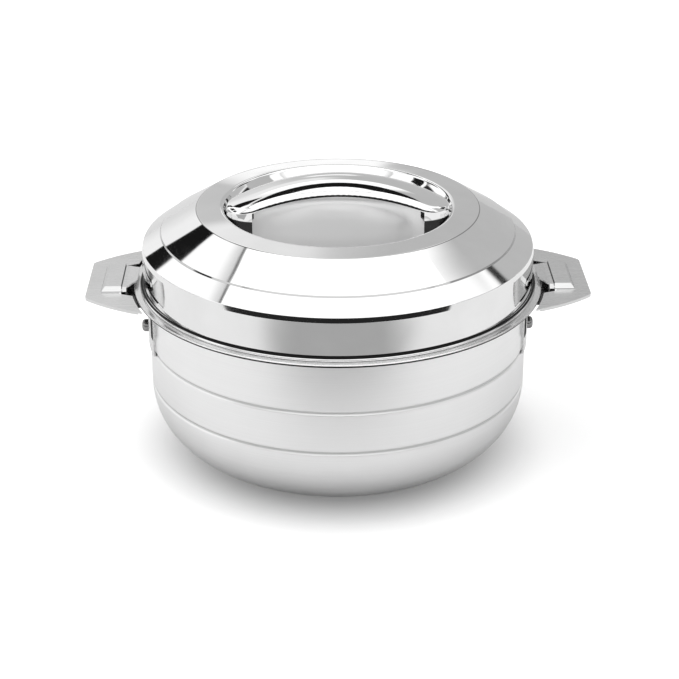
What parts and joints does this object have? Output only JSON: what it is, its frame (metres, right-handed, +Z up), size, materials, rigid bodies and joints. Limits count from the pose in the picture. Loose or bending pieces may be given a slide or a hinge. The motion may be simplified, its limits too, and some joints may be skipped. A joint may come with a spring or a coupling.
{
  "type": "insulated casserole",
  "caption": "Round double-walled steel casserole with a domed lift-off lid, a strap handle in a recess and flat side handles, for keeping flat breads warm.",
  "frame": {"origin": "centre of the foot, on the surface that the casserole stands on", "axes": "+Z up through the lid, +X towards one side handle, -Y towards the front"},
  "size_m": [0.314, 0.257, 0.1814],
  "materials": {
    "body_steel": "satin",
    "bowl_steel": "satin",
    "lid_steel": "mirror polished",
    "handle_steel": "satin",
    "bracket_steel": "polished",
    "fastener": "plain",
    "plug": "matte",
    "foam": "matte"
  },
  "bodies": {
    "body": {"outer_shell": "body_steel", "inner_bowl": "bowl_steel", "body_insulation": "foam", "body_filler_plug": "plug", "handle_plate_left": "handle_steel", "handle_plate_right": "handle_steel", "handle_bracket_left": "bracket_steel", "handle_bracket_right": "bracket_steel", "handle_screws": "fastener", "handle_backing_plates": "bracket_steel", "handle_nuts": "fastener"},
    "lid": {"lid_outer_shell": "lid_steel", "lid_inner_cover": "bowl_steel", "lid_insulation": "foam", "lid_filler_plug": "plug", "lid_handle_strap": "lid_steel"}
  },
  "joints": [
    {"name": "lid_lift", "type": "slide", "parent": "body", "child": "lid", "axis": [0, 0, 1], "range_m": [0, 0.09]}
  ]
}
